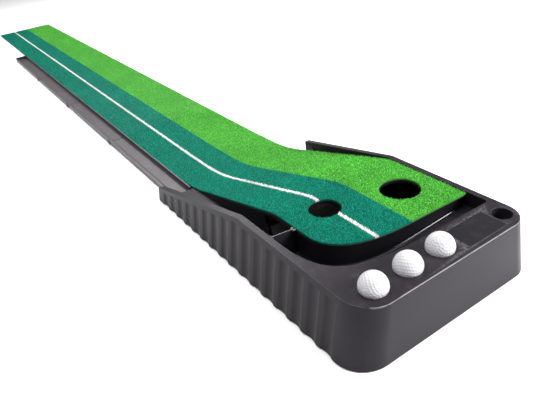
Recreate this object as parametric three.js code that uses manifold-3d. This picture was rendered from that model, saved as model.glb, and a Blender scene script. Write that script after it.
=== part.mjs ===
// A practice putting mat: a moulded base with a ball return, a strip of putting turf that climbs
// onto it, four return gutter sections, and three balls. +Z up, +Y along the turf away from the
// holes, +X across. The origin is the middle of the footprint, on the floor.
import * as THREE from "three";
import { mergeVertices } from "three/addons/utils/BufferGeometryUtils.js";
import Module from "manifold-3d";

const wasm = await Module();
wasm.setup();

// ---- driving dimensions (measured from the base's front left corner, floor level) ----
const unit = 1.06; // millimetres in one drawing unit, set by the standard golf ball
const ballDiameter = 42.7; // millimetres
const fit = 0.3; // gap between pieces that seat on each other
const base = {
  width: 349,
  length: 613,
  height: 98,
  floorGap: 1, // the rubber feet lift the shell by this
  wall: 3,
  innerWall: 2.4,
  flutedWall: 5,
  leftLean: 18, // how far the left wall leans in over the height
  rightLean: 17,
  frontLean: 4,
  leftCorner: 48,
  rightCorner: 38,
};
const leftWall = { topWidth: 11, kink: 300, endHeight: 28 };
const rightWall = { topWidth: 10, kink: 275, slopeEnd: 540, endHeight: 40, rake: 12 };
const flute = { count: 16, first: 66, pitch: 34, width: 27, depth: 2.6, topMargin: 9 };
const deck = { depth: 68, thickness: 3, rightFillet: 5 };
const ball = { radius: ballDiameter / 2 / unit, count: 3, firstX: 62, pitch: 60.6, y: 38, centreAbove: 3.5 };
const well = { boss: 23.5, floor: 3 };
const socket = { radius: 15, depth: 26, fromRight: 41, y: 34 };
const label = { length: 77, width: 45, x: 214, y: 13, recess: 1.2, gap: 0.3 };
const turf = {
  width: 250,
  left: 71,
  front: 108,
  end: 2831,
  backing: 1.5,
  landing: 60,
  partPast: 32,
  pile: 4.2,
  layerGap: 0.3,
};
const ramp = {
  kink: 268,
  foot: 605,
  kinkRadius: 90,
  footRadius: 500,
  skin: 3,
  tip: 1.2,
  tail: 18,
  hollowEnd: 40, // the ramp is solid this far before its foot
};
const platform = { overhang: 1.5, sideWall: 3, front: 3.5 };
const cups = [
  { name: "large", x: 260, y: 186, radius: 32.5 },
  { name: "small", x: 137, y: 226, radius: 26 },
];
const trough = { cornerHeight: 55, rightRise: 0.062, plate: 3 };
const channel = {
  slopeStart: 190,
  fall: 0.11,
  damY: 234,
  damDrop: 17,
  damRun: 12,
  midY: 483,
  midHeight: 22,
  exitY: 590,
  exitHeight: 10,
};
const ledge = { width: 8, end: 500 }; // the shell's flange under the bed's edge
const baffle = { y: 219, skew: -8, thickness: 2.4, top: 95, guide: 3.5, rib: 3, gap: 0.4 };
const tray = {
  exitHeight: 37,
  riseX: 0.018,
  riseY: 0.03,
  exitFront: 246,
  exitRear: 300,
  plate: 2.5,
  rim: 12,
};
const gutter = {
  left: 22,
  width: 44,
  sections: 4,
  pitch: 397,
  leftHeight: 11,
  rightHeight: 14,
  wall: 2,
  floorTop: 3.8,
  tongue: 14,
  tab: 2.4,
  endWall: 3,
};
const foot = { radius: 5, height: 3.4, boss: 7 };
const screw = { shank: 1.5, head: 3, headHeight: 2, length: 14, bossRadius: 3.6, hole: 1.9 };
const strip = { width: 18, thickness: 0.9, recess: 1.2, inset: 60, fromFront: 26, pastKink: 40 };

const plastic = new THREE.Color(0x3b383c);

// ---- helpers ----
function solid(geometry) {
  const g = geometry.clone();
  g.deleteAttribute("normal");
  g.deleteAttribute("uv");
  const merged = mergeVertices(g, 1e-4);
  return new wasm.Manifold(
    new wasm.Mesh({
      numProp: 3,
      vertProperties: new Float32Array(merged.attributes.position.array),
      triVerts: new Uint32Array(merged.index.array),
    }),
  );
}

function geometryOf(body) {
  const mesh = body.getMesh();
  const g = new THREE.BufferGeometry();
  g.setAttribute("position", new THREE.BufferAttribute(mesh.vertProperties, 3));
  g.setIndex(new THREE.BufferAttribute(mesh.triVerts, 1));
  const flat = g.toNonIndexed();
  flat.computeVertexNormals();
  return flat;
}

const join = (bodies) => bodies.reduce((sum, body) => sum.add(body));

// An X-Y outline raised from z0 to z1.
function column(shape, z0, z1, curveSegments = 10) {
  const g = new THREE.ExtrudeGeometry(shape, { depth: z1 - z0, bevelEnabled: false, curveSegments });
  g.translate(0, 0, z0);
  return g;
}

// A Y-Z outline drawn out from x0 to x1.
function acrossX(shape, x0, x1, curveSegments = 10) {
  const g = new THREE.ExtrudeGeometry(shape, { depth: x1 - x0, bevelEnabled: false, curveSegments });
  const turn = new THREE.Matrix4().makeBasis(
    new THREE.Vector3(0, 1, 0),
    new THREE.Vector3(0, 0, 1),
    new THREE.Vector3(1, 0, 0),
  );
  g.applyMatrix4(turn);
  g.translate(x0, 0, 0);
  return g;
}

// An X-Z outline drawn out from y0 to y1.
function alongY(shape, y0, y1, curveSegments = 6) {
  const g = new THREE.ExtrudeGeometry(shape, { depth: y1 - y0, bevelEnabled: false, curveSegments });
  g.rotateX(Math.PI / 2);
  g.translate(0, y1, 0);
  return g;
}

function block(x0, x1, y0, y1, z0, z1) {
  const g = new THREE.BoxGeometry(x1 - x0, y1 - y0, z1 - z0);
  g.translate((x0 + x1) / 2, (y0 + y1) / 2, (z0 + z1) / 2);
  return solid(g);
}

function rod(x, y, z0, z1, radius, sides = 24) {
  const g = new THREE.CylinderGeometry(radius, radius, z1 - z0, sides);
  g.rotateX(Math.PI / 2);
  g.translate(x, y, (z0 + z1) / 2);
  return solid(g);
}

function outline(points) {
  return new THREE.Shape(points.map(([x, y]) => new THREE.Vector2(x, y)));
}

function part(name, body, options = {}) {
  const finish = { color: plastic, roughness: 0.5, metalness: 0, ...options };
  const material = new THREE.MeshStandardMaterial(finish);
  const mesh = new THREE.Mesh(body.isBufferGeometry ? body : geometryOf(body), material);
  mesh.name = name;
  return mesh;
}

// ---- the outer form: a rounded outline whose walls lean in as they rise ----
function baseOutline(leftInset, inset) {
  const x0 = leftInset;
  const x1 = base.width - inset;
  const y0 = inset;
  const y1 = base.length - inset;
  const rl = base.leftCorner - inset;
  const rr = base.rightCorner - inset;
  const s = new THREE.Shape();
  s.moveTo(x1, y1);
  s.lineTo(x0, y1);
  s.lineTo(x0, y0 + rl);
  s.absarc(x0 + rl, y0 + rl, rl, Math.PI, 1.5 * Math.PI, false);
  s.lineTo(x1 - rr, y0);
  s.absarc(x1 - rr, y0 + rr, rr, 1.5 * Math.PI, 2 * Math.PI, false);
  return s;
}

function lean(geometry) {
  const p = geometry.getAttribute("position");
  for (let i = 0; i < p.count; i += 1) {
    const x = p.getX(i);
    const y = p.getY(i);
    const rise = p.getZ(i) / base.height;
    const across = x / base.width;
    p.setX(i, x + rise * (base.leftLean * (1 - across) - base.rightLean * across));
    p.setY(i, y + rise * base.frontLean * (1 - y / base.length));
  }
  return geometry;
}

const bay = {
  left: base.leftLean + leftWall.topWidth,
  right: base.width - base.rightLean - rightWall.topWidth,
  lean: 0.17,
  leanReach: 150, // the lean fades out this far from the wall
  far: base.length + 60,
};
const high = base.height + 10;
const low = -10;

// The plan of the open bay inside the walls: deck edge, swept left corner, left wall.
function bayOutline(grow) {
  const l = bay.left - grow;
  const r = bay.right + grow;
  const f = deck.depth - grow;
  const round = deck.rightFillet + grow;
  const s = new THREE.Shape();
  s.moveTo(r, bay.far);
  s.lineTo(l, bay.far);
  s.lineTo(l, f + 122);
  s.bezierCurveTo(l, f + 17, l + 50, f + 4, l + 171, f + 2);
  s.lineTo(r - round, f);
  s.absarc(r - round, f + round, round, 1.5 * Math.PI, 2 * Math.PI, false);
  return s;
}

// The bay's side faces lean out as they go down, like the outer walls.
function leanBay(geometry) {
  const p = geometry.getAttribute("position");
  const weight = (distance) => Math.min(1, Math.max(0, 1 - distance / bay.leanReach));
  for (let i = 0; i < p.count; i += 1) {
    const x = p.getX(i);
    const out = weight(bay.right - x) - weight(x - bay.left);
    p.setX(i, x + out * bay.lean * (base.height - p.getZ(i)));
  }
  return geometry;
}

// Everything above the tops of the side walls, lowered by drop.
function aboveWalls(drop) {
  const leftTop = outline([
    [leftWall.kink, high],
    [leftWall.kink, base.height - drop],
    [base.length, leftWall.endHeight - drop],
    [base.length + 20, leftWall.endHeight - drop - 4],
    [base.length + 20, high],
  ]);
  const rightTop = outline([
    [rightWall.kink, high],
    [rightWall.kink, base.height - drop],
    [rightWall.slopeEnd - drop, rightWall.endHeight - drop],
    [rightWall.slopeEnd + rightWall.rake - drop, low],
    [base.length + 20, low],
    [base.length + 20, high],
  ]);
  const middle = base.width / 2;
  return solid(acrossX(leftTop, -20, middle)).add(solid(acrossX(rightTop, middle, base.width + 20)));
}

// ---- floors of the trough and the return channel ----
function channelHeight(y) {
  const { slopeStart, fall, damY, damDrop, damRun, exitY, exitHeight, midY, midHeight } = channel;
  const before = trough.cornerHeight - fall * (damY - slopeStart);
  const stops = [
    [0, trough.cornerHeight],
    [slopeStart, trough.cornerHeight],
    [damY, before],
    [damY + damRun, before - damDrop],
    [midY, midHeight],
    [exitY, exitHeight],
  ];
  const next = stops.findIndex(([stop]) => stop >= y);
  const [y0, z0] = stops[next - 1];
  const [y1, z1] = stops[next];
  return z0 + ((z1 - z0) * (y - y0)) / (y1 - y0);
}

const channelBreaks = [
  0,
  channel.slopeStart,
  channel.damY,
  channel.damY + channel.damRun,
  channel.midY,
  channel.exitY,
];
const troughStart = turf.left - 5;
const troughHeight = (x) => trough.cornerHeight + trough.rightRise * Math.max(0, x - troughStart);

// Solid from z = bottom up to the floor surface plus lift.
function underFloor(bottom, lift) {
  const y0 = deck.depth - 10;
  const leftProfile = [[y0, bottom], [channel.exitY, bottom]];
  for (const y of channelBreaks.slice().reverse()) {
    leftProfile.push([Math.max(y, y0), channelHeight(Math.max(y, 1)) + lift]);
  }
  const left = solid(acrossX(outline(leftProfile), 0, troughStart + 13));
  const rightProfile = outline([
    [troughStart, bottom],
    [base.width, bottom],
    [base.width, troughHeight(base.width) + lift],
    [troughStart, trough.cornerHeight + lift],
  ]);
  const right = solid(alongY(rightProfile, y0, channel.slopeStart));
  return left.add(right);
}

// ---- the raised bed: plan and side profile ----
function bedOutline(inset, farInset = inset) {
  const l = turf.left - platform.overhang + inset;
  const r = bay.right - fit - inset;
  const f = turf.front + platform.front + inset;
  const s = new THREE.Shape();
  s.moveTo(r, ramp.foot + ramp.tail - farInset);
  s.lineTo(l, ramp.foot + ramp.tail - farInset);
  s.lineTo(l, f + 76);
  s.bezierCurveTo(l, f + 25, l + 50, f + 4, l + 120, f + 1);
  s.lineTo(r, f);
  return s;
}

const turfThickness = turf.backing + turf.layerGap + turf.pile;
const bedTop = base.height - turfThickness - fit;
const bedSlope = Math.atan2(bedTop - ramp.tip, ramp.foot - ramp.kink);
const settle = ramp.foot + ramp.footRadius * Math.tan(bedSlope / 2) + 8; // the turf is level past here

// The surface that the turf lies on, as Y-Z points lifted square to it: level bed, ramp, floor.
function bedCurve(lift, farY) {
  const points = [[-50, bedTop + lift]];
  const steps = 6;
  const crest = ramp.kinkRadius;
  const hollow = ramp.footRadius;
  const half = Math.tan(bedSlope / 2);
  for (let i = 0; i <= steps; i += 1) {
    const a = (bedSlope * i) / steps;
    const y = ramp.kink - crest * half + (crest + lift) * Math.sin(a);
    points.push([y, bedTop - crest + (crest + lift) * Math.cos(a)]);
  }
  for (let i = steps; i >= 0; i -= 1) {
    const a = (bedSlope * i) / steps;
    const y = ramp.foot + hollow * half - (hollow - lift) * Math.sin(a);
    if (y < farY) points.push([y, ramp.tip + hollow - (hollow - lift) * Math.cos(a)]);
  }
  points.push([farY, Math.min(points[points.length - 1][1], ramp.tip + lift + 3)]);
  return points;
}

// Turf layer between two lifts above the bed; past the ramp's tail it drops onto the floor.
function turfLayer(lower, upper) {
  const landed = settle + turf.landing;
  const profile = [
    ...bedCurve(upper, settle),
    [landed, upper - fit],
    [turf.end, upper - fit],
    [turf.end, lower - fit],
    [landed, lower - fit],
    ...bedCurve(lower, settle).reverse(),
  ];
  const sheet = solid(acrossX(outline(profile), turf.left, turf.left + turf.width));
  const f = turf.front;
  const plan = new THREE.Shape();
  plan.moveTo(turf.left + turf.width + 1, turf.end + 10);
  plan.lineTo(turf.left - 1, turf.end + 10);
  plan.lineTo(turf.left - 1, f + 78);
  plan.lineTo(turf.left, f + 78);
  plan.bezierCurveTo(turf.left, f + 27, turf.left + 49, f + 5, turf.left + 119, f + 2);
  plan.lineTo(turf.left + turf.width + 1, f - 2);
  const holes = cups.map((cup) => rod(cup.x, cup.y, 0, high, cup.radius + 1, 40));
  return sheet.intersect(solid(column(plan, low, high))).subtract(join(holes));
}

// ---- feet and screws: where they stand ----
const footInset = 10;
const feet = [
  [34, 88],
  [250, 34],
  [45, 330],
  [45, 560],
  [base.width - footInset, 300],
  [base.width - footInset, 515],
];
const screws = [
  [turf.left + 2.5, 330],
  [turf.left + 2.5, 430],
  [210, turf.front + 7.5],
  [305, turf.front + 7.5],
];
const screwSeat = ([x, y]) => (y < channel.slopeStart ? troughHeight(x) : channelHeight(y));

// Grip strips: middles on the bed's surface, one level and one on the ramp.
const stripLength = turf.width - 2 * strip.inset;
const stripPlaces = [
  [turf.front + strip.fromFront, bedTop, 0],
  [ramp.kink + strip.pastKink, bedTop - strip.pastKink * Math.tan(bedSlope), -bedSlope],
].map(([y, z, tilt]) =>
  new THREE.Matrix4().makeRotationX(tilt).setPosition(turf.left + turf.width / 2, y, z),
);

const bedLeft = turf.left - platform.overhang;
const baffleX = (bay.left + bedLeft) / 2;
const baffleSpan = bedLeft - bay.left - 2 * baffle.gap;
const baffleTurn = THREE.MathUtils.degToRad(baffle.skew);

// ---- base shell ----
function fluteCutters() {
  const { count, first, pitch, width, depth, topMargin } = flute;
  const radius = (width * width) / (8 * depth) + depth / 2;
  const tilt = Math.atan2(base.leftLean, base.height);
  const cutters = [];
  for (let i = 0; i < count; i += 1) {
    const y = first + pitch * i;
    const slope = (base.height - leftWall.endHeight) / (base.length - leftWall.kink);
    const top = base.height - Math.max(0, y - leftWall.kink) * slope - topMargin;
    const g = new THREE.CylinderGeometry(radius, radius, top + 20, 48);
    g.rotateX(Math.PI / 2);
    g.translate(depth - radius, 0, top / 2 - 10);
    g.rotateY(tilt);
    g.translate(0, y, 0);
    cutters.push(solid(g));
  }
  return join(cutters);
}

// Pairs of ribs that hold the baffle's edge: side -1 on the left wall, side 1 on the bed.
function baffleGuides(side) {
  const across = baffle.thickness / 2 + baffle.gap + baffle.rib / 2;
  const foot = channelHeight(baffle.y) - 6;
  const depth = 20; // well into the wall
  const ribs = [-1, 1].map((face) => {
    const g = new THREE.BoxGeometry(depth, baffle.rib, baffle.top - foot);
    const x = side * (baffleSpan / 2 - baffle.guide + depth / 2);
    g.translate(x, face * across, (baffle.top + foot) / 2);
    g.rotateZ(baffleTurn);
    g.translate(baffleX, baffle.y, 0);
    return solid(g);
  });
  return join(ribs);
}

function makeShell() {
  const outer = solid(lean(column(baseOutline(0, 0), base.floorGap, base.height)));
  const inner = baseOutline(base.flutedWall, base.wall);
  const hollow = solid(lean(column(inner, low, base.height - deck.thickness)));
  const bayCut = solid(leanBay(column(bayOutline(0), low, high)));
  const bayWall = solid(leanBay(column(bayOutline(base.innerWall), low, high)));
  const lowered = aboveWalls(base.wall);
  let shell = outer.subtract(bayCut).subtract(hollow.subtract(bayWall).subtract(lowered));
  shell = shell.subtract(aboveWalls(0));

  const bedGap = solid(column(bedOutline(-fit), low, base.height));
  const pastLedge = block(0, base.width, ledge.end, base.length, low, base.height);
  const bedHole = solid(column(bedOutline(ledge.width), low, base.height)).add(bedGap.intersect(pastLedge));
  const floorArea = solid(leanBay(column(bayOutline(1), low, base.height)));
  const floor = underFloor(-5, 0)
    .subtract(underFloor(low, -trough.plate))
    .intersect(floorArea)
    .subtract(bedHole);
  shell = shell.add(floor);

  shell = shell.add(baffleGuides(-1).intersect(floorArea).subtract(underFloor(low, -1)));

  const wells = [];
  const bores = [];
  const centreZ = base.height + ball.centreAbove;
  for (let i = 0; i < ball.count; i += 1) {
    const x = ball.firstX + ball.pitch * i;
    const cup = new THREE.SphereGeometry(ball.radius + fit, 40, 24);
    cup.rotateX(Math.PI / 2);
    cup.translate(x, ball.y, centreZ);
    wells.push(rod(x, ball.y, centreZ - ball.radius - well.floor, base.height - 1, well.boss, 40));
    bores.push(solid(cup));
  }
  const sx = base.width - socket.fromRight;
  const bottom = base.height - socket.depth;
  wells.push(rod(sx, socket.y, bottom - well.floor, base.height - 1, socket.radius + base.innerWall, 32));
  bores.push(rod(sx, socket.y, bottom, high, socket.radius, 32));

  for (const [x, y] of feet) {
    const boss = rod(x, y, base.floorGap, base.height - 1, foot.boss, 20);
    const inBay = y > deck.depth + 20 && x > bay.left && x < bay.right;
    wells.push(inBay ? boss.intersect(underFloor(low, -1)) : boss.intersect(outer));
    bores.push(rod(x, y, low, foot.height + fit, foot.radius + fit, 20));
  }
  shell = shell.add(join(wells).intersect(outer).subtract(aboveWalls(0)));
  shell = shell.subtract(join(bores));

  const recess = block(
    label.x,
    label.x + label.length,
    label.y,
    label.y + label.width,
    base.height - label.recess,
    high,
  );
  shell = shell.subtract(recess);
  for (const at of screws) shell = shell.subtract(rod(at[0], at[1], 0, base.height, screw.hole, 12));
  return shell.subtract(fluteCutters());
}

// ---- the raised bed with its ramp and two holes ----
function makePlatform() {
  const under = (drop) => {
    const top = bedCurve(-drop, settle);
    return solid(acrossX(outline([[-50, low], ...top, [settle, low]]), 0, base.width));
  };
  const full = under(0);
  const plan = solid(column(bedOutline(0), 0, base.height));
  const inner = solid(column(bedOutline(platform.sideWall), low, base.height));
  const hollowPart = block(0, base.width, 0, ramp.foot - ramp.hollowEnd, low, base.height);
  let bed = full.intersect(plan).subtract(under(ramp.skin).intersect(inner).intersect(hollowPart));
  bed = bed.add(baffleGuides(1).subtract(block(bedLeft + 1, base.width, 0, base.length, 0, base.height)));
  bed = bed.subtract(underFloor(low, fit));
  for (const at of screws) {
    const seat = screwSeat(at);
    const boss = rod(at[0], at[1], seat + fit + 1.5, seat + 18, screw.bossRadius, 16);
    bed = bed.add(boss.intersect(full).intersect(plan));
    bed = bed.subtract(rod(at[0], at[1], seat - 5, seat + 14, screw.hole, 12));
  }
  // side opening that lets holed balls out into the return channel
  const wallEnd = turf.left + platform.sideWall + 2;
  const gate = block(turf.left - 10, wallEnd, tray.exitFront, tray.exitRear, 0, base.height);
  bed = bed.subtract(gate.intersect(under(ramp.skin + 1)));
  for (const cup of cups) bed = bed.subtract(rod(cup.x, cup.y, 40, base.height, cup.radius, 40));
  for (const place of stripPlaces) {
    const g = new THREE.BoxGeometry(stripLength + 2 * fit, strip.width + 2 * fit, 2 * strip.recess);
    bed = bed.subtract(solid(g.applyMatrix4(place)));
  }
  return bed;
}

// ---- ball tray under the bed ----
// A wedge from below the floor up to the tray's tilted plane, raised by lift.
function traySurface(lift, x0, x1, y0, y1) {
  const rise = (x, y) => tray.riseX * (x - turf.left) + tray.riseY * (tray.exitRear - y);
  const height = (x, y) => tray.exitHeight + rise(x, y) + lift;
  const g = new THREE.BoxGeometry(1, 1, 1);
  const p = g.getAttribute("position");
  for (let i = 0; i < p.count; i += 1) {
    const x = p.getX(i) < 0 ? x0 : x1;
    const y = p.getY(i) < 0 ? y0 : y1;
    p.setXYZ(i, x, y, p.getZ(i) < 0 ? -5 : height(x, y));
  }
  return solid(g);
}

function makeTray() {
  const w = tray.plate;
  const inset = ledge.width + fit;
  const left = turf.left - platform.overhang + inset;
  const rear = tray.exitRear + 4;
  const plan = (grow) => {
    const front = block(0, base.width, 0, rear - grow, 0, base.height);
    return solid(column(bedOutline(inset + grow), 0, base.height)).intersect(front);
  };
  const wide = (lift) => traySurface(lift, 0, base.width, 0, rear + 50);
  const outer = plan(0);
  const inner = plan(w);
  const rim = wide(tray.rim).intersect(outer).subtract(inner);
  const plate = wide(0).subtract(wide(-w)).intersect(outer);
  const front = tray.exitFront + 2;
  const back = tray.exitRear - 2;
  const gate = block(left - 1, left + w + 0.1, front, back, tray.exitHeight + 2.2, base.height);
  const lip = traySurface(0, turf.left - 1, left + w + 1, front, back).subtract(
    traySurface(-w, turf.left - 5, left + w + 5, front - 2, back + 2),
  );
  return rim.add(plate).subtract(gate).add(lip);
}

// ---- gutter sections ----
function gutterProfile() {
  const { left, width, leftHeight: a, rightHeight: b, wall, floorTop: f } = gutter;
  const r = left + width;
  const s = new THREE.Shape();
  s.moveTo(left, 0);
  s.lineTo(left + wall, 0);
  s.lineTo(left + wall, 6.5);
  s.quadraticCurveTo(left + 6, 2.6, left + 13, f - 2);
  s.lineTo(r - 9, f - 2);
  s.quadraticCurveTo(r - 4, 2.6, r - wall, 9);
  s.lineTo(r - wall, 0);
  s.lineTo(r, 0);
  s.lineTo(r, b);
  s.lineTo(r - 3, b);
  s.quadraticCurveTo(r - 4, f + 0.6, r - 10, f);
  s.lineTo(left + 14, f);
  s.quadraticCurveTo(left + 6, f + 0.4, left + 5, a);
  s.lineTo(left, a);
  return s;
}

function makeGutterSection(index) {
  const start = channel.exitY + fit + gutter.pitch * index;
  const last = index === gutter.sections - 1;
  const end = start + gutter.pitch - fit;
  const { left, width, floorTop, tongue, tab } = gutter;
  let body = solid(alongY(gutterProfile(), start, end));
  const lap = floorTop - 2 - fit;
  const tongueEnds = [left + 16, left + width - 12];
  body = body.add(block(...tongueEnds, start - tongue, start + 5, fit, lap));
  body = body.add(block(...tongueEnds, start, start + 5, fit, floorTop - 1));
  if (index > 0) {
    body = body.add(block(left - tab, left + 1, start, start + 7, 2, 8.5));
    body = body.add(block(left - tab, left - fit, start - 9, start + 1, 2, 8.5));
  }
  if (last) {
    const cap = new THREE.Shape();
    const r = gutter.leftHeight;
    cap.moveTo(left, end - gutter.endWall);
    cap.lineTo(left + width, end - gutter.endWall);
    cap.lineTo(left + width, end + fit);
    cap.lineTo(left + r, end + fit);
    cap.quadraticCurveTo(left, end + fit, left, end - gutter.endWall);
    body = body.add(solid(column(cap, 0, gutter.rightHeight, 6)));
  }
  return body;
}

// ---- assembly ----
const putt = new THREE.Group();
putt.scale.setScalar(unit);
putt.position.set((-base.width / 2) * unit, (-turf.end / 2) * unit, 0);

putt.add(part("base_shell", makeShell(), { roughness: 0.55 }));
putt.add(part("ramp_platform", makePlatform(), { roughness: 0.4 }));
putt.add(part("ball_tray", makeTray(), { roughness: 0.5 }));
const backing = turfLayer(fit, fit + turf.backing);
// One sheet, parted where it bends: on the bed, down the ramp and along the floor.
const backingEnds = [0, ramp.kink + turf.partPast, settle + turf.landing, turf.end + turf.partPast];
["bed", "ramp", "run"].forEach((stretch, i) => {
  const length = block(0, base.width, backingEnds[i], backingEnds[i + 1], low, high);
  putt.add(part(`turf_backing_${stretch}`, backing.intersect(length), { color: 0x1c1d1b, roughness: 0.9 }));
});
const pileLow = fit + turf.backing + turf.layerGap;
putt.add(part("turf_pile", turfLayer(pileLow, pileLow + turf.pile), { color: 0x1d8a50, roughness: 0.95 }));

stripPlaces.forEach((place, i) => {
  const g = new THREE.BoxGeometry(stripLength, strip.width, strip.thickness);
  g.translate(0, 0, strip.thickness / 2 - strip.recess + 0.02);
  g.applyMatrix4(place);
  putt.add(part(`grip_strip_${i + 1}`, g, { color: 0x111111, roughness: 0.95 }));
});

{
  const foot = channelHeight(baffle.y - 4) + fit;
  const g = new THREE.BoxGeometry(baffleSpan, baffle.thickness, baffle.top - foot);
  const mesh = part("return_baffle", g, { roughness: 0.35 });
  mesh.position.set(baffleX, baffle.y, (baffle.top + foot) / 2);
  mesh.rotation.z = baffleTurn;
  putt.add(mesh);
}

{
  const { length, width, recess, gap } = label;
  const g = new THREE.BoxGeometry(length - 2 * gap, width - 2 * gap, recess - 0.2);
  const mesh = part("label_plate", g, { color: 0x1c1d2a, roughness: 0.3 });
  mesh.position.set(label.x + label.length / 2, label.y + label.width / 2, base.height - label.recess / 2);
  putt.add(mesh);
}

for (let i = 0; i < gutter.sections; i += 1) {
  putt.add(part(`gutter_section_${i + 1}`, makeGutterSection(i), { color: 0x6f6570, roughness: 0.45 }));
}

for (let i = 0; i < ball.count; i += 1) {
  const mesh = part(`golf_ball_${i + 1}`, new THREE.SphereGeometry(ball.radius, 24, 16), {
    color: 0xf4f4f2,
    roughness: 0.35,
  });
  mesh.position.set(ball.firstX + ball.pitch * i, ball.y, base.height + ball.centreAbove);
  putt.add(mesh);
}

feet.forEach(([x, y], i) => {
  const g = new THREE.CylinderGeometry(foot.radius, foot.radius, foot.height, 20);
  g.rotateX(Math.PI / 2);
  const mesh = part(`rubber_foot_${i + 1}`, g, { color: 0x151515, roughness: 0.9 });
  mesh.position.set(x, y, foot.height / 2);
  putt.add(mesh);
});

screws.forEach((at, i) => {
  const { shank, head, headHeight, length } = screw;
  const profile = [
    [0, 0],
    [head, 0],
    [head, headHeight],
    [shank, headHeight],
    [shank, length],
    [0, length + 1],
  ].map(([x, y]) => new THREE.Vector2(x, y));
  const g = new THREE.LatheGeometry(profile, 12);
  g.rotateX(Math.PI / 2);
  const mesh = part(`platform_screw_${i + 1}`, g, { color: 0xb8b9bb, roughness: 0.3, metalness: 1 });
  const headUnder = screwSeat(at) - trough.plate - headHeight - fit - 0.8;
  mesh.position.set(at[0], at[1], headUnder);
  putt.add(mesh);
});

export default putt;
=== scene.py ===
import math
import random

import bmesh
import bpy
from mathutils import Matrix, Vector
from mathutils.bvhtree import BVHTree
from mathutils.kdtree import KDTree


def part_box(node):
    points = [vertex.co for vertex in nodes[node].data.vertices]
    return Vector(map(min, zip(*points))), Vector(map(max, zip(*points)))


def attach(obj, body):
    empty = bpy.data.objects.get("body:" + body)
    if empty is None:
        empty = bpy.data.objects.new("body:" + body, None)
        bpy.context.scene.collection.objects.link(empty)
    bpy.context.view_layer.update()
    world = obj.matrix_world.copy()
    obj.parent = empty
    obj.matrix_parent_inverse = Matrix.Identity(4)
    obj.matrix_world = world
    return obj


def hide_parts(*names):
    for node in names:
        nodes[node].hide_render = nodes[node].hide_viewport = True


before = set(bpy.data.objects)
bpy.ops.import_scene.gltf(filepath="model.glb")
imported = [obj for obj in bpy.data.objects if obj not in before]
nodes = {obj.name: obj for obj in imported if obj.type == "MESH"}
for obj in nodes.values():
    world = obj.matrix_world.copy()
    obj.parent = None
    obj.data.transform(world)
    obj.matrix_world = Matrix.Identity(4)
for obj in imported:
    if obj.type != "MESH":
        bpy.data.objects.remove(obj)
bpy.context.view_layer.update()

scene = bpy.context.scene
scene.view_settings.view_transform = "Standard"
shellLow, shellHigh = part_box("base_shell")
turfLow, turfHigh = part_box("turf_pile")
bedLow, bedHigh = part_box("ramp_platform")


def fromCorner(x, y, z):
    # millimetres from the base's front left corner on the floor
    return Vector((shellLow.x + x / 1000.0, shellLow.y + y / 1000.0, z / 1000.0))


# camera: stands off the ball deck's left corner and looks along the turf
cameraSetup = {
    "lens": 36.12,
    "fromCorner": (-307.5, -364.1, 583.8),
    "azimuth": 29.70,
    "tiltDown": 31.04,
    "roll": 7.96,
}


def makeCamera():
    data = bpy.data.cameras.new("camera")
    camera = bpy.data.objects.new("camera", data)
    scene.collection.objects.link(camera)
    data.sensor_width = 36.0
    data.lens = cameraSetup["lens"]
    data.clip_start = 0.01
    data.clip_end = 50.0
    swing = Matrix.Rotation(math.radians(-cameraSetup["azimuth"]), 4, "Z")
    tilt = Matrix.Rotation(math.radians(90.0 - cameraSetup["tiltDown"]), 4, "X")
    roll = Matrix.Rotation(math.radians(-cameraSetup["roll"]), 4, "Z")
    place = Matrix.Translation(fromCorner(*cameraSetup["fromCorner"]))
    camera.matrix_world = place @ swing @ tilt @ roll
    scene.camera = camera


makeCamera()
print("camera ready")


# stage: pale floor and soft light
stageSetup = {
    "floorSize": 14.0,
    "floorDrop": 0.0006,
    "floorColour": (0.97, 0.97, 0.97, 1),
    "skyStrength": 0.42,
    "softBoxes": [
        {"name": "backBox", "at": (0.7, 1.6, 1.9), "aim": (0.0, -1.1, 0.0),
         "size": (2.2, 0.7), "power": 60.0},
        {"name": "topBox", "at": (-0.2, -0.9, 3.4), "aim": (0.0, -0.9, 0.0),
         "size": (2.2, 4.4), "power": 145.0},
        {"name": "frontBox", "at": (1.9, -3.4, 1.5), "aim": (0.0, -1.4, 0.05),
         "size": (1.6, 1.0), "power": 200.0},
    ],
}


def makeStage():
    bpy.ops.object.select_all(action="DESELECT")
    drop = -stageSetup["floorDrop"]
    bpy.ops.mesh.primitive_plane_add(size=stageSetup["floorSize"], location=(0, 0, drop))
    floor = bpy.context.object
    floor.name = "studioFloor"
    bpy.ops.object.transform_apply(location=True, rotation=True, scale=True)
    material = bpy.data.materials.new("paleFloor")
    material.use_nodes = True
    shader = material.node_tree.nodes["Principled BSDF"]
    shader.inputs["Base Color"].default_value = stageSetup["floorColour"]
    shader.inputs["Roughness"].default_value = 0.6
    floor.data.materials.append(material)
    world = bpy.data.worlds.new("studioSky")
    world.use_nodes = True
    sky = world.node_tree.nodes["Background"]
    sky.inputs["Color"].default_value = (1.0, 1.0, 1.0, 1)
    sky.inputs["Strength"].default_value = stageSetup["skyStrength"]
    scene.world = world
    for box in stageSetup["softBoxes"]:
        data = bpy.data.lights.new(box["name"], "AREA")
        data.shape = "RECTANGLE"
        data.size, data.size_y = box["size"]
        data.energy = box["power"]
        light = bpy.data.objects.new(box["name"], data)
        scene.collection.objects.link(light)
        place = Vector(box["at"])
        aim = (Vector(box["aim"]) - place).to_track_quat("-Z", "Y")
        light.matrix_world = Matrix.Translation(place) @ aim.to_matrix().to_4x4()


makeStage()
print("stage ready")


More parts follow.
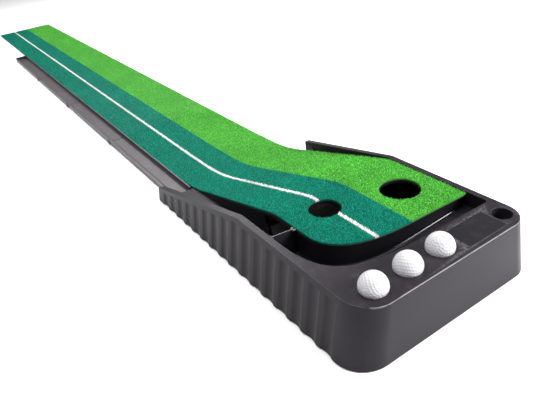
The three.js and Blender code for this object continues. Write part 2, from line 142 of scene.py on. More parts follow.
# shared shader groups and node helpers
def newGroup(name, inputs, outputs):
    group = bpy.data.node_groups.new(name, "ShaderNodeTree")
    for label, kind, value in inputs:
        socket = group.interface.new_socket(name=label, in_out="INPUT", socket_type=kind)
        socket.default_value = value
    for label, kind in outputs:
        group.interface.new_socket(name=label, in_out="OUTPUT", socket_type=kind)
    start = group.nodes.new("NodeGroupInput")
    end = group.nodes.new("NodeGroupOutput")
    return group, start, end


def feed(tree, socket, value):
    if isinstance(value, (int, float)):
        socket.default_value = value
    elif isinstance(value, tuple):
        socket.default_value = (*value, 1.0) if len(value) == 3 else value
    else:
        tree.links.new(value, socket)


def mathNode(tree, operation, a, b=None, clamp=False):
    node = tree.nodes.new("ShaderNodeMath")
    node.operation = operation
    node.use_clamp = clamp
    feed(tree, node.inputs[0], a)
    if b is not None:
        feed(tree, node.inputs[1], b)
    return node.outputs[0]


def rangeNode(tree, value, low, high, outLow=0.0, outHigh=1.0, smooth=True):
    node = tree.nodes.new("ShaderNodeMapRange")
    node.interpolation_type = "SMOOTHSTEP" if smooth else "LINEAR"
    tree.links.new(value, node.inputs["Value"])
    node.inputs["From Min"].default_value = low
    node.inputs["From Max"].default_value = high
    node.inputs["To Min"].default_value = outLow
    node.inputs["To Max"].default_value = outHigh
    return node.outputs[0]


def noiseNode(tree, vector, scale, detail=3.0, rough=0.55):
    node = tree.nodes.new("ShaderNodeTexNoise")
    node.inputs["Detail"].default_value = detail
    node.inputs["Roughness"].default_value = rough
    tree.links.new(vector, node.inputs["Vector"])
    feed(tree, node.inputs["Scale"], scale)
    return node.outputs["Fac"]


def mixColour(tree, factor, a, b, blend="MIX"):
    node = tree.nodes.new("ShaderNodeMix")
    node.data_type = "RGBA"
    node.blend_type = blend
    feed(tree, node.inputs["Factor"], factor)
    feed(tree, node.inputs[6], a)
    feed(tree, node.inputs[7], b)
    return node.outputs[2]


def objectCoords(tree):
    return tree.nodes.new("ShaderNodeTexCoord").outputs["Object"]


def splitXYZ(tree, vector):
    node = tree.nodes.new("ShaderNodeSeparateXYZ")
    tree.links.new(vector, node.inputs[0])
    return node.outputs


def bumpNode(tree, height, strength, distance):
    node = tree.nodes.new("ShaderNodeBump")
    node.inputs["Strength"].default_value = strength
    node.inputs["Distance"].default_value = distance
    tree.links.new(height, node.inputs["Height"])
    return node.outputs["Normal"]


def makeMouldGroup():
    # mould grain, slow flow marks, and dust that settles on level faces
    group, start, end = newGroup(
        "mouldedSurface",
        [("Grain Scale", "NodeSocketFloat", 900.0), ("Flow Scale", "NodeSocketFloat", 9.0)],
        [("Grain", "NodeSocketFloat"), ("Flow", "NodeSocketFloat"), ("Dust", "NodeSocketFloat")],
    )
    coords = objectCoords(group)
    fine = noiseNode(group, coords, start.outputs["Grain Scale"], 2.0, 0.6)
    cells = group.nodes.new("ShaderNodeTexVoronoi")
    group.links.new(coords, cells.inputs["Vector"])
    cellScale = mathNode(group, "MULTIPLY", start.outputs["Grain Scale"], 0.7)
    group.links.new(cellScale, cells.inputs["Scale"])
    pits = mathNode(group, "MULTIPLY", cells.outputs["Distance"], 0.5)
    flow = noiseNode(group, coords, start.outputs["Flow Scale"], 4.0, 0.6)
    normal = group.nodes.new("ShaderNodeNewGeometry").outputs["Normal"]
    level = rangeNode(group, splitXYZ(group, normal)["Z"], 0.5, 1.0)
    patch = rangeNode(group, noiseNode(group, coords, 60.0, 6.0, 0.7), 0.45, 0.75)
    group.links.new(mathNode(group, "ADD", fine, pits), end.inputs["Grain"])
    group.links.new(flow, end.inputs["Flow"])
    group.links.new(mathNode(group, "MULTIPLY", level, patch), end.inputs["Dust"])
    return group


def makeWearGroup():
    # rubbed edges, broken up by noise
    group, start, end = newGroup(
        "rubbedEdges",
        [("Low", "NodeSocketFloat", 0.56), ("High", "NodeSocketFloat", 0.66)],
        [("Wear", "NodeSocketFloat")],
    )
    coords = objectCoords(group)
    pointy = group.nodes.new("ShaderNodeNewGeometry").outputs["Pointiness"]
    sharp = group.nodes.new("ShaderNodeMapRange")
    group.links.new(pointy, sharp.inputs["Value"])
    group.links.new(start.outputs["Low"], sharp.inputs["From Min"])
    group.links.new(start.outputs["High"], sharp.inputs["From Max"])
    broken = rangeNode(group, noiseNode(group, coords, 220.0, 5.0, 0.7), 0.35, 0.65)
    group.links.new(mathNode(group, "MULTIPLY", sharp.outputs[0], broken), end.inputs["Wear"])
    return group


def makeFibreGroup():
    # tone of yarn: clumps, single threads and a slow drift over the whole strip
    group, start, end = newGroup(
        "yarnTone",
        [("Thread Scale", "NodeSocketFloat", 700.0), ("Clump Scale", "NodeSocketFloat", 130.0)],
        [("Thread", "NodeSocketFloat"), ("Clump", "NodeSocketFloat"), ("Drift", "NodeSocketFloat")],
    )
    coords = objectCoords(group)
    thread = noiseNode(group, coords, start.outputs["Thread Scale"], 1.0, 0.5)
    clump = noiseNode(group, coords, start.outputs["Clump Scale"], 3.0, 0.6)
    group.links.new(thread, end.inputs["Thread"])
    group.links.new(clump, end.inputs["Clump"])
    group.links.new(noiseNode(group, coords, 6.0, 2.0, 0.5), end.inputs["Drift"])
    return group


def makeEdgeHighlightGroup():
    # painted highlight on the rounded upper edges: their tilted faces high up get a lighter colour,
    # broken by noise
    group, start, end = newGroup(
        "polishedEdges", [("Above", "NodeSocketFloat", 0.09)], [("Edge", "NodeSocketFloat")])
    slope = splitXYZ(group, group.nodes.new("ShaderNodeNewGeometry").outputs["True Normal"])["Z"]
    notSteep = rangeNode(group, slope, 0.3, 0.4)
    notLevel = rangeNode(group, slope, 0.93, 0.97, 1.0, 0.0)
    tilted = mathNode(group, "MULTIPLY", notSteep, notLevel)
    coords = objectCoords(group)
    height = mathNode(group, "GREATER_THAN", splitXYZ(group, coords)["Z"], start.outputs["Above"])
    uneven = rangeNode(group, noiseNode(group, coords, 35.0, 4.0, 0.6), 0.3, 0.6, 0.45, 1.0)
    edge = mathNode(group, "MULTIPLY", mathNode(group, "MULTIPLY", tilted, height), uneven)
    group.links.new(edge, end.inputs["Edge"])
    return group


mouldGroup = makeMouldGroup()
edgeHighlightGroup = makeEdgeHighlightGroup()
wearGroup = makeWearGroup()
fibreGroup = makeFibreGroup()


def groupIn(tree, group, **values):
    node = tree.nodes.new("ShaderNodeGroup")
    node.node_tree = group
    for label, value in values.items():
        node.inputs[label.replace("_", " ")].default_value = value
    return node


def newMaterial(name, specular=0.5):
    material = bpy.data.materials.new(name)
    material.use_nodes = True
    shader = material.node_tree.nodes["Principled BSDF"]
    shader.inputs["Specular IOR Level"].default_value = specular
    return material, material.node_tree, shader


def makePlastic(name, look):
    material, tree, shader = newMaterial(name, look["specular"])
    mould = groupIn(tree, mouldGroup, Grain_Scale=look["grain"], Flow_Scale=look["flow"])
    wear = groupIn(tree, wearGroup)
    flow = rangeNode(tree, mould.outputs["Flow"], 0.3, 0.7)
    tint = mixColour(tree, flow, look["dark"], look["light"])
    dust = mathNode(tree, "MULTIPLY", mould.outputs["Dust"], look["dust"])
    dusty = mixColour(tree, dust, tint, look["dustColour"])
    wearAndHighlight = mathNode(tree, "MULTIPLY", wear.outputs["Wear"], look["wear"])
    # painted edge highlight, mixed with the rubbed wear towards the same light worn colour
    if look["polish"]:
        edge = groupIn(tree, edgeHighlightGroup).outputs["Edge"]
        wearAndHighlight = mathNode(tree, "MAXIMUM", wearAndHighlight, mathNode(tree, "MULTIPLY", edge, look["polish"]))
    colour = mixColour(tree, wearAndHighlight, dusty, look["wornAndHighlit"])
    if look["seams"]:
        start, pitch, half = look["seams"]
        onY = splitXYZ(tree, objectCoords(tree))["Y"]
        sections = mathNode(tree, "DIVIDE", mathNode(tree, "SUBTRACT", onY, shellLow.y + start), pitch)
        turn = mathNode(tree, "FRACT", mathNode(tree, "ADD", sections, 0.5))
        away = mathNode(tree, "ABSOLUTE", mathNode(tree, "SUBTRACT", turn, 0.5))
        grime = rangeNode(tree, away, half / pitch * 0.6, half / pitch, 1.0, 0.0)
        colour = mixColour(tree, grime, colour, look["seamColour"])
    tree.links.new(colour, shader.inputs["Base Color"])
    rough = rangeNode(tree, mould.outputs["Flow"], 0.25, 0.75, *look["rough"])
    tree.links.new(rough, shader.inputs["Roughness"])
    normal = bumpNode(tree, mould.outputs["Grain"], look["bump"], look["bumpDepth"])
    tree.links.new(normal, shader.inputs["Normal"])
    return material


def plasticLook(dark, light, wornAndHighlit, rough, **others):
    look = {
        "dark": dark, "light": light, "wornAndHighlit": wornAndHighlit, "rough": rough, "dust": 0.08,
        "dustColour": (0.16, 0.155, 0.16), "wear": 0.35, "grain": 1300.0, "flow": 7.0,
        "bump": 0.25, "bumpDepth": 0.00015, "specular": 0.42, "polish": 0.0, "seams": None,
        "seamColour": (0.003, 0.003, 0.003),
    }
    look.update(others)
    return look


plasticLooks = {
    # the shell's light worn colour is also the colour of its painted edge highlight
    "shellPlastic": plasticLook(
        (0.0125, 0.0102, 0.0140), (0.0165, 0.0136, 0.0182), (0.19, 0.185, 0.20), (0.32, 0.41),
        specular=0.13, polish=1.0),
    # trough: glossier; its dark colour and dark dust are painted shade for the recess
    "troughShadedPlastic": plasticLook(
        (0.0045, 0.0045, 0.006), (0.007, 0.007, 0.009), (0.05, 0.05, 0.055), (0.14, 0.20),
        specular=0.35, dust=0.03, wear=0.25, grain=700.0, bump=0.05, dustColour=(0.06, 0.06, 0.06)),
    "bedPlastic": plasticLook(
        (0.0055, 0.0055, 0.007), (0.009, 0.009, 0.011), (0.07, 0.07, 0.075), (0.20, 0.28),
        specular=0.3, dust=0.04, wear=0.4, grain=900.0, bump=0.07, dustColour=(0.07, 0.07, 0.07)),
    "gutterPlastic": plasticLook(
        (0.030, 0.023, 0.029), (0.040, 0.033, 0.039), (0.12, 0.11, 0.12), (0.34, 0.46),
        specular=0.3, dust=0.12, flow=14.0, bump=0.18, dustColour=(0.22, 0.21, 0.22),
        seams=(0.6257, 0.42082, 0.0045)),
    "trayPlastic": plasticLook(
        (0.006, 0.006, 0.007), (0.010, 0.010, 0.011), (0.06, 0.06, 0.06), (0.35, 0.5), flow=12.0),
    "bafflePlastic": plasticLook(
        (0.012, 0.011, 0.014), (0.018, 0.017, 0.020), (0.12, 0.12, 0.13), (0.18, 0.28),
        specular=0.25, dust=0.04, grain=800.0, bump=0.06),
    "labelPlate": plasticLook(
        (0.006, 0.0055, 0.007), (0.009, 0.008, 0.010), (0.06, 0.06, 0.065), (0.30, 0.40),
        specular=0.16, dust=0.05, grain=1800.0, bump=0.12, wear=0.2),
    "footRubber": plasticLook(
        (0.008, 0.008, 0.008), (0.016, 0.015, 0.015), (0.05, 0.05, 0.05), (0.75, 0.9),
        grain=600.0, bump=0.5, specular=0.3),
    "stripFabric": plasticLook(
        (0.004, 0.004, 0.004), (0.012, 0.012, 0.012), (0.03, 0.03, 0.03), (0.85, 0.95),
        grain=1500.0, bump=0.9, bumpDepth=0.0004, specular=0.2),
    "latexBacking": plasticLook(
        (0.010, 0.012, 0.010), (0.020, 0.022, 0.019), (0.04, 0.04, 0.04), (0.7, 0.85),
        grain=900.0, flow=20.0, bump=0.8, bumpDepth=0.0004, specular=0.3),
}
plastics = {name: makePlastic(name, look) for name, look in plasticLooks.items()}


def makeSteel():
    material, tree, shader = newMaterial("platedSteel")
    mould = groupIn(tree, mouldGroup, Grain_Scale=1500.0, Flow_Scale=300.0)
    tone = rangeNode(tree, mould.outputs["Flow"], 0.3, 0.7)
    plating = mixColour(tree, tone, (0.5, 0.5, 0.51), (0.68, 0.68, 0.7))
    tree.links.new(plating, shader.inputs["Base Color"])
    rough = rangeNode(tree, mould.outputs["Flow"], 0.3, 0.7, 0.22, 0.4)
    tree.links.new(rough, shader.inputs["Roughness"])
    tree.links.new(bumpNode(tree, mould.outputs["Grain"], 0.2, 0.0001), shader.inputs["Normal"])
    shader.inputs["Metallic"].default_value = 1.0
    return material


def makeCover():
    # urethane ball cover: faint clouding, a few scuffs, slightly dirty dimples
    material, tree, shader = newMaterial("ballCover")
    mould = groupIn(tree, mouldGroup, Grain_Scale=2600.0, Flow_Scale=90.0)
    wear = groupIn(tree, wearGroup, Low=0.44, High=0.49)
    tone = rangeNode(tree, mould.outputs["Flow"], 0.3, 0.7)
    cloud = mixColour(tree, tone, (0.45, 0.445, 0.465), (0.51, 0.505, 0.52))
    grey = mathNode(tree, "MULTIPLY", rangeNode(tree, mould.outputs["Dust"], 0.2, 0.9), 0.10)
    tree.links.new(mixColour(tree, grey, cloud, (0.62, 0.61, 0.62)), shader.inputs["Base Color"])
    rough = rangeNode(tree, wear.outputs["Wear"], 0.0, 1.0, 0.42, 0.30)
    tree.links.new(rough, shader.inputs["Roughness"])
    tree.links.new(bumpNode(tree, mould.outputs["Grain"], 0.06, 0.0001), shader.inputs["Normal"])
    shader.inputs["Subsurface Weight"].default_value = 0.08
    shader.inputs["Subsurface Radius"].default_value = (0.001, 0.001, 0.001)
    return material


# turf colours: lanes and aim line across the strip, in metres from its left edge
turfLook = {
    "lineAt": 0.0763, "lineWidth": 0.0069, "splitAt": 0.1430,
    "edgeWobble": 0.0012, "laneSoftness": 0.0006,
    "darkGreen": (0.005, 0.260, 0.175), "lightGreen": (0.110, 0.52, 0.066),
    "white": (1.0, 1.0, 1.0), "spread": 0.75,
}


def makeTurf(name, depth):
    # depth 1 for the tips of the tufts, lower for what lies between them, which is painted darker as
    # the shade deep in the pile
    material, tree, shader = newMaterial(name, 0.06)
    coords = objectCoords(tree)
    axes = splitXYZ(tree, coords)
    fibre = groupIn(tree, fibreGroup)
    wobble = mathNode(tree, "SUBTRACT", fibre.outputs["Clump"], 0.5)
    shift = mathNode(tree, "MULTIPLY", wobble, turfLook["edgeWobble"] * 2.0)
    across = mathNode(tree, "ADD", mathNode(tree, "SUBTRACT", axes["X"], turfLow.x), shift)
    soft = turfLook["laneSoftness"]
    splitAt = turfLook["splitAt"]
    lane = rangeNode(tree, across, splitAt - soft, splitAt + soft)
    fromLine = mathNode(tree, "ABSOLUTE", mathNode(tree, "SUBTRACT", across, turfLook["lineAt"]))
    half = turfLook["lineWidth"] / 2.0
    line = rangeNode(tree, fromLine, half - soft, half + soft, 1.0, 0.0)
    green = mixColour(tree, lane, turfLook["darkGreen"], turfLook["lightGreen"])
    painted = mixColour(tree, line, green, turfLook["white"])
    tuft = tree.nodes.new("ShaderNodeAttribute")
    tuft.attribute_name = "tone"
    spread = turfLook["spread"]
    dim, bright = depth * (1.0 - spread), depth * (1.0 + spread)
    tone = rangeNode(tree, tuft.outputs["Fac"], 0.0, 1.0, dim, bright, False)
    thread = rangeNode(tree, fibre.outputs["Thread"], 0.25, 0.75, 0.8, 1.2)
    drift = rangeNode(tree, fibre.outputs["Drift"], 0.3, 0.7, 0.93, 1.07)
    value = mathNode(tree, "MULTIPLY", mathNode(tree, "MULTIPLY", tone, thread), drift)
    grey = tree.nodes.new("ShaderNodeCombineColor")
    for channel in range(3):
        tree.links.new(value, grey.inputs[channel])
    shaded = mixColour(tree, 1.0, painted, grey.outputs[0], "MULTIPLY")
    tree.links.new(shaded, shader.inputs["Base Color"])
    rough = rangeNode(tree, fibre.outputs["Clump"], 0.3, 0.7, 0.55, 0.75)
    tree.links.new(rough, shader.inputs["Roughness"])
    tree.links.new(bumpNode(tree, fibre.outputs["Thread"], 0.4, 0.0004), shader.inputs["Normal"])
    return material


print("materials ready")


# helpers for pieces
def pick(obj):
    bpy.ops.object.select_all(action="DESELECT")
    bpy.context.view_layer.objects.active = obj
    obj.select_set(True)


def cleanCopy(nodeName, newName, flat=0.4):
    # the CAD piece with its loose triangles merged back into whole faces
    copy = bpy.data.objects.new(newName, nodes[nodeName].data.copy())
    scene.collection.objects.link(copy)
    copy.data.materials.clear()
    pick(copy)
    bpy.ops.object.mode_set(mode="EDIT")
    bpy.ops.mesh.select_all(action="SELECT")
    bpy.ops.mesh.remove_doubles(threshold=0.00002)
    bpy.ops.mesh.dissolve_limited(angle_limit=math.radians(flat))
    bpy.ops.object.mode_set(mode="OBJECT")
    return copy


def roundEdges(obj, width, segments=2, sharpFrom=32.0, smoothTo=38.0):
    pick(obj)
    bevel = obj.modifiers.new("softEdges", "BEVEL")
    bevel.width = width
    bevel.segments = segments
    bevel.limit_method = "ANGLE"
    bevel.angle_limit = math.radians(sharpFrom)
    bpy.ops.object.modifier_apply(modifier=bevel.name)
    bpy.ops.object.shade_smooth_by_angle(angle=math.radians(smoothTo))
    even = obj.modifiers.new("evenShading", "WEIGHTED_NORMAL")
    even.keep_sharp = True
    bpy.ops.object.modifier_apply(modifier=even.name)
    return obj


def finishPiece(obj, materials, body, slotName, *replaced):
    obj.data.materials.clear()
    for material in materials:
        obj.data.materials.append(material)
    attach(obj, body)
    if replaced:
        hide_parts(*replaced)


def repaintNode(name, material):
    mesh = nodes[name].data
    mesh.materials.clear()
    mesh.materials.append(material)


# base shell: satin outside, polished inside the trough and channel, where it is also painted darker as
# shade in the recess
shellSetup = {
    "edge": 0.0012,
    "rim": 0.0022, "rimReach": 0.013, "rimAbove": 0.09, "rimLength": 0.30,
    "steep": 0.5, "level": 0.9, "sharpTurn": 1.0,
    "bayFrom": 0.0705, "bayLeft": 0.0435, "bayRight": 0.0009, "bayLean": 0.17, "baySlack": 0.0012,
    "rimDrop": 0.0026,
    "leftRim": {"kink": 318.0, "length": 332.0, "drop": 74.2},
    "rightRim": {"kink": 291.5, "length": 280.9, "drop": 61.5},
}


def wallTopAt(side, y):
    # height of the side wall's rim, so that faces below it inside the bay count as trough
    along = (y - shellLow.y) * 1000.0
    rim = shellSetup["leftRim"] if side < 0 else shellSetup["rightRim"]
    share = min(max((along - rim["kink"]) / rim["length"], 0.0), 1.0)
    return shellHigh.z - share * rim["drop"] / 1000.0


def roundRim(shell):
    # the deck's and rim's upper edges are rounder than the rest
    shell.data.attributes.new("bevel_weight_edge", "FLOAT", "EDGE")
    mesh = bmesh.new()
    mesh.from_mesh(shell.data)
    mesh.normal_update()
    weights = mesh.edges.layers.float["bevel_weight_edge"]
    setup = shellSetup
    for edge in mesh.edges:
        if len(edge.link_faces) != 2:
            continue
        rise = sorted(abs(face.normal.z) for face in edge.link_faces)
        middle = (edge.verts[0].co + edge.verts[1].co) / 2
        inward = min(middle.x - shellLow.x, shellHigh.x - middle.x, middle.y - shellLow.y)
        outer = inward < setup["rimReach"] and middle.z > setup["rimAbove"]
        outer = outer and middle.y < shellLow.y + setup["rimLength"]
        corner = rise[0] < setup["steep"] and rise[1] > setup["level"]
        if outer and corner and edge.calc_face_angle(0) > setup["sharpTurn"]:
            edge[weights] = 1.0
    mesh.to_mesh(shell.data)
    mesh.free()
    pick(shell)
    bevel = shell.modifiers.new("roundRim", "BEVEL")
    bevel.width = shellSetup["rim"]
    bevel.segments = 3
    bevel.use_clamp_overlap = False
    bevel.limit_method = "WEIGHT"
    bpy.ops.object.modifier_apply(modifier=bevel.name)


def makeShell():
    shell = cleanCopy("base_shell", "mouldedShell")
    roundRim(shell)
    roundEdges(shell, shellSetup["edge"])
    setup = shellSetup
    bayLeft, bayRight = bedLow.x - setup["bayLeft"], bedHigh.x + setup["bayRight"]
    for face in shell.data.polygons:
        centre = face.center
        behindDeck = centre.y > shellLow.y + setup["bayFrom"]
        side = -1 if centre.x < 0 else 1
        below = centre.z < wallTopAt(side, centre.y) - setup["rimDrop"]
        spread = (shellHigh.z - centre.z) * setup["bayLean"] + setup["baySlack"]
        inBay = bayLeft - spread < centre.x < bayRight + spread
        # faces low in the bay get the trough plastic, painted darker as shade in the recess
        face.material_index = 1 if behindDeck and below and inBay else 0
    coats = [plastics["shellPlastic"], plastics["troughShadedPlastic"]]
    finishPiece(shell, coats, "base", "shell", "base_shell")


# bed, gutters and the small pieces on the deck
smallSetup = {
    "bedEdge": 0.0010, "gutterEdge": 0.0005, "baffleEdge": 0.0005, "labelEdge": 0.0003,
    "gutters": 4, "feet": 6, "screws": 4, "strips": 2,
}


def makeBed():
    bed = roundEdges(cleanCopy("ramp_platform", "turfBed"), smallSetup["bedEdge"])
    finishPiece(bed, [plastics["bedPlastic"]], "base", "bed", "ramp_platform")


def makeGutters():
    for index in range(1, smallSetup["gutters"] + 1):
        name = f"gutter_section_{index}"
        section = roundEdges(cleanCopy(name, f"gutterRun{index}"), smallSetup["gutterEdge"])
        finishPiece(section, [plastics["gutterPlastic"]], f"gutter_{index}", "gutter", name)


def makeSmallPieces():
    baffle = roundEdges(cleanCopy("return_baffle", "bafflePlate"), smallSetup["baffleEdge"], 3)
    finishPiece(baffle, [plastics["bafflePlastic"]], "baffle", "baffle", "return_baffle")
    plate = roundEdges(cleanCopy("label_plate", "blankPlate"), smallSetup["labelEdge"])
    finishPiece(plate, [plastics["labelPlate"]], "base", "label", "label_plate")
    repaintNode("ball_tray", plastics["trayPlastic"])
    for stretch in ("bed", "ramp", "run"):
        repaintNode(f"turf_backing_{stretch}", plastics["latexBacking"])
    steel = makeSteel()
    for index in range(smallSetup["feet"]):
        repaintNode(f"rubber_foot_{index + 1}", plastics["footRubber"])
    for index in range(smallSetup["screws"]):
        repaintNode(f"platform_screw_{index + 1}", steel)
    for index in range(smallSetup["strips"]):
        repaintNode(f"grip_strip_{index + 1}", plastics["stripFabric"])


# the glossy fillet where the trough's floor turns up into the bed's wall
filletSetup = {
    "radius": 0.0066, "arcSteps": 7, "bite": 0.0003, "perUnit": 1.06,
    "leftRun": (204, 198, 192), "curveSteps": 26,
    "curve": ((71, 186, 0), (71, 135, 0), (120, 113, 0), (190, 110, 0)),
    "frontStride": (12.2, -0.38, 0), "frontSteps": 11,
    "probe": 0.014, "probeTop": 0.2, "wallHeight": 0.008, "wallReach": 0.04, "smoothTo": 40.0,
}


def rayTree(name):
    mesh = nodes[name].data
    corners = [vertex.co.copy() for vertex in mesh.vertices]
    return BVHTree.FromPolygons(corners, [tuple(face.vertices) for face in mesh.polygons])


def bedEdgePlan():
    # the bed's front left edge in drawing units, from the channel round to the right
    setup = filletSetup
    a, b, c, d = [Vector(p) for p in setup["curve"]]
    points = [Vector((a.x, y, 0)) for y in setup["leftRun"]]
    for i in range(setup["curveSteps"]):
        t = i / setup["curveSteps"]
        u = 1 - t
        points.append(a * u ** 3 + b * 3 * t * u ** 2 + c * 3 * t * t * u + d * t ** 3)
    stride = Vector(setup["frontStride"])
    points.extend(d + stride * i for i in range(setup["frontSteps"]))
    return [fromCorner(p.x * setup["perUnit"], p.y * setup["perUnit"], 0) for p in points]


def makeFillet():
    # rays find the trough's floor and the bed's wall, and a quarter round is swept between them
    floorTree, wallTree = rayTree("base_shell"), rayTree("ramp_platform")
    plan = bedEdgePlan()
    radius, bite = filletSetup["radius"], filletSetup["bite"]
    up = Vector((0, 0, 1))
    rings = []
    for i, point in enumerate(plan):
        ahead = plan[min(i + 1, len(plan) - 1)] - plan[max(i - 1, 0)]
        out = Vector((ahead.y, -ahead.x, 0)).normalized()
        probe = point + out * filletSetup["probe"]
        floorHit = floorTree.ray_cast(probe + up * filletSetup["probeTop"], -up)[0]
        if floorHit is None:
            continue
        beside = floorHit + up * filletSetup["wallHeight"]
        wallHit = wallTree.ray_cast(beside, -out, filletSetup["wallReach"])[0]
        if wallHit is None:
            continue
        foot = Vector((wallHit.x, wallHit.y, floorHit.z)) - out * bite - up * bite
        ring = []
        for k in range(filletSetup["arcSteps"]):
            turn = math.pi / 2 * k / (filletSetup["arcSteps"] - 1)
            across, rise = 1 - math.cos(turn), 1 - math.sin(turn)
            ring.append(foot + out * radius * across + up * radius * rise)
        ring.append(foot - out * bite - up * bite)
        rings.append(ring)
    sides = filletSetup["arcSteps"] + 1
    points = [p for ring in rings for p in ring]
    faces = []
    for i in range(len(rings) - 1):
        for k in range(sides):
            a, b = i * sides + k, i * sides + (k + 1) % sides
            faces.append((a, a + sides, b + sides, b))
    faces.append(tuple(range(sides)))
    faces.append(tuple(reversed([(len(rings) - 1) * sides + k for k in range(sides)])))
    mesh = bpy.data.meshes.new("troughFillet")
    mesh.from_pydata(points, [], faces)
    fillet = bpy.data.objects.new("troughFillet", mesh)
    scene.collection.objects.link(fillet)
    pick(fillet)
    bpy.ops.object.mode_set(mode="EDIT")
    bpy.ops.mesh.select_all(action="SELECT")
    bpy.ops.mesh.normals_make_consistent(inside=False)
    bpy.ops.object.mode_set(mode="OBJECT")
    bpy.ops.object.shade_smooth_by_angle(angle=math.radians(filletSetup["smoothTo"]))
    finishPiece(fillet, [plastics["troughShadedPlastic"]], "base", "bed")
    print("fillet rings", len(rings))


makeShell()
makeFillet()
makeBed()
makeGutters()
makeSmallPieces()
print("hard pieces ready")


# golf balls: one dimpled ball, copied into each well
ballSetup = {
    "dimples": 320, "reach": 0.00195, "depth": 0.00050, "wallShape": 0.7, "subdivisions": 6,
    "turns": [(0.2, 0.1), (1.1, -0.6), (2.3, 0.9)],
}


def dimpledBall():
    low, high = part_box("golf_ball_1")
    centre = (low + high) / 2
    radius = (high.x - low.x) / 2
    bpy.ops.object.select_all(action="DESELECT")
    bpy.ops.mesh.primitive_ico_sphere_add(
        subdivisions=ballSetup["subdivisions"], radius=radius, location=centre)
    master = bpy.context.object
    bpy.ops.object.transform_apply(location=True, rotation=True, scale=True)
    golden = math.pi * (3.0 - math.sqrt(5.0))
    count = ballSetup["dimples"]
    middles = []
    for i in range(count):
        z = 1.0 - 2.0 * (i + 0.5) / count
        ring = math.sqrt(1.0 - z * z)
        middles.append(Vector((ring * math.cos(golden * i), z, ring * math.sin(golden * i))))
    tree = KDTree(count)
    for i, middle in enumerate(middles):
        tree.insert(middle, i)
    tree.balance()
    reach = ballSetup["reach"] / radius
    for vertex in master.data.vertices:
        direction = (vertex.co - centre).normalized()
        _, _, away = tree.find(direction)
        share = min(away / reach, 1.0)
        sink = (1.0 - share * share) ** ballSetup["wallShape"] * ballSetup["depth"]
        vertex.co -= direction * sink
    bpy.ops.object.shade_smooth()
    return master, centre


def makeBalls():
    cover = makeCover()
    master, centre = dimpledBall()
    for index, (swing, tip) in enumerate(ballSetup["turns"], 1):
        low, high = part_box(f"golf_ball_{index}")
        place = (low + high) / 2
        mesh = master.data.copy()
        spin = Matrix.Rotation(swing, 4, "Z") @ Matrix.Rotation(tip, 4, "X")
        mesh.transform(Matrix.Translation(place) @ spin @ Matrix.Translation(-centre))
        copy = bpy.data.objects.new(f"dimpledBall{index}", mesh)
        scene.collection.objects.link(copy)
        finishPiece(copy, [cover], f"ball_{index}", "ball", f"golf_ball_{index}")
    bpy.data.objects.remove(master)


makeBalls()
print("balls ready")


# turf: a base sheet with standing tufts in three zones, finer near the holes
tuftSetup = {
    "sink": 0.0021, "height": 0.0026, "lean": 0.0011, "halfWidth": 0.00042, "seed": 41,
    "bury": 0.0003, "scatter": 0.4, "rayFrom": 0.3, "levelFrom": 0.5,
    # shade and contrast set the centre and spread of each zone's tuft tones: the ramp and far zones
    # are painted darker and flatter, as painted shade on the farther pile
    "zones": [
        {"name": "tuftsBed", "from": -0.01, "to": 0.300, "spacing": 0.00205, "size": 1.0,
         "shade": 0.5, "contrast": 1.0},
        {"name": "tuftsRamp", "from": 0.300, "to": 0.95, "spacing": 0.0029, "size": 1.35,
         "shade": 0.45, "contrast": 0.75},
        {"name": "tuftsFar", "from": 0.95, "to": 3.2, "spacing": 0.0052, "size": 2.3,
         "shade": 0.38, "contrast": 0.5},
    ],
}


def makeTurfSheet(material):
    sheet = cleanCopy("turf_pile", "turfSheet", 0.05)
    mesh = bmesh.new()
    mesh.from_mesh(sheet.data)
    mesh.normal_update()
    moved = set()
    for face in mesh.faces:
        if face.normal.z > tuftSetup["levelFrom"]:
            moved.update(face.verts)
    for vertex in moved:
        vertex.co.z -= tuftSetup["sink"]
    mesh.to_mesh(sheet.data)
    mesh.free()
    tone = sheet.data.attributes.new("tone", "FLOAT", "POINT")
    tone.data.foreach_set("value", [0.5] * len(sheet.data.vertices))
    finishPiece(sheet, [material], "base", "pile", "turf_pile")
    return sheet


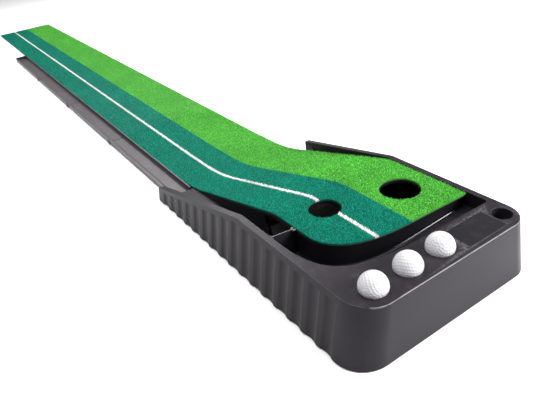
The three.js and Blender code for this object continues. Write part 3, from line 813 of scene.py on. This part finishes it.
def tuftMesh(zone, tree, rng):
    setup = tuftSetup
    points, faces, tones = [], [], []
    size, step = zone["size"], zone["spacing"]
    columns = int((turfHigh.x - turfLow.x) / step)
    startY = max(turfLow.y + zone["from"], turfLow.y)
    endY = min(turfLow.y + zone["to"], turfHigh.y)
    rows = int((endY - startY) / step) + 1
    up = Vector((0, 0, 1))
    bury = up * setup["bury"]
    scatter = setup["scatter"]
    for row in range(rows):
        for column in range(columns + 1):
            offset = 0.5 * (row % 2)
            x = turfLow.x + (column + offset) * step + rng.uniform(-scatter, scatter) * step
            y = startY + row * step + rng.uniform(-scatter, scatter) * step
            tone = zone["shade"] + (rng.random() - 0.5) * zone["contrast"]
            turns = [rng.uniform(0, math.tau) for _ in range(2)]
            leans = [rng.uniform(0.3, 1.0) for _ in range(2)]
            tall = rng.uniform(0.75, 1.15)
            if y > endY or y < startY:
                continue
            hit, normal, _, _ = tree.ray_cast(Vector((x, y, setup["rayFrom"])), -up)
            if hit is None or normal.z < setup["levelFrom"]:
                continue
            for turn, reach in zip(turns, leans):
                side = Vector((math.cos(turn), math.sin(turn), 0))
                tip = Vector((-side.y, side.x, 0)) * setup["lean"] * reach * size ** 0.5
                half = side * setup["halfWidth"] * size
                rise = setup["height"] * tall * (1.0 - 0.25 * reach)
                base = len(points)
                waist = hit + tip * 0.5 + up * rise * 0.75
                end = hit + tip * 1.5 + up * rise
                points.extend([hit - half - bury, hit + half - bury])
                points.extend([waist + half * 0.7, waist - half * 0.7])
                points.extend([end + half * 0.3, end - half * 0.3])
                faces.append((base, base + 1, base + 2, base + 3))
                faces.append((base + 3, base + 2, base + 4, base + 5))
                # each blade runs from painted shade at the root to a painted highlight at the tip,
                # over the tuft's random tone
                shadedRoot, lit = tone * 0.35, 0.25 + tone * 0.75
                tones.extend([shadedRoot, shadedRoot, tone, tone, lit, lit])
    return points, faces, tones


def makeTurfPieces():
    tips = makeTurf("turfTips", 1.0)
    # the sheet between the tufts is painted at 0.45 brightness: painted shade in the pile
    between = makeTurf("turfBetweenShaded", 0.45)
    sheet = makeTurfSheet(between)
    tree = BVHTree.FromObject(sheet, bpy.context.evaluated_depsgraph_get())
    rng = random.Random(tuftSetup["seed"])
    for zone in tuftSetup["zones"]:
        points, faces, tones = tuftMesh(zone, tree, rng)
        mesh = bpy.data.meshes.new(zone["name"])
        mesh.from_pydata(points, [], faces)
        attribute = mesh.attributes.new("tone", "FLOAT", "POINT")
        attribute.data.foreach_set("value", tones)
        tufts = bpy.data.objects.new(zone["name"], mesh)
        scene.collection.objects.link(tufts)
        finishPiece(tufts, [tips], "base", "pile")
        print(zone["name"], len(faces) * 2, "triangles")


makeTurfPieces()
print("turf ready")
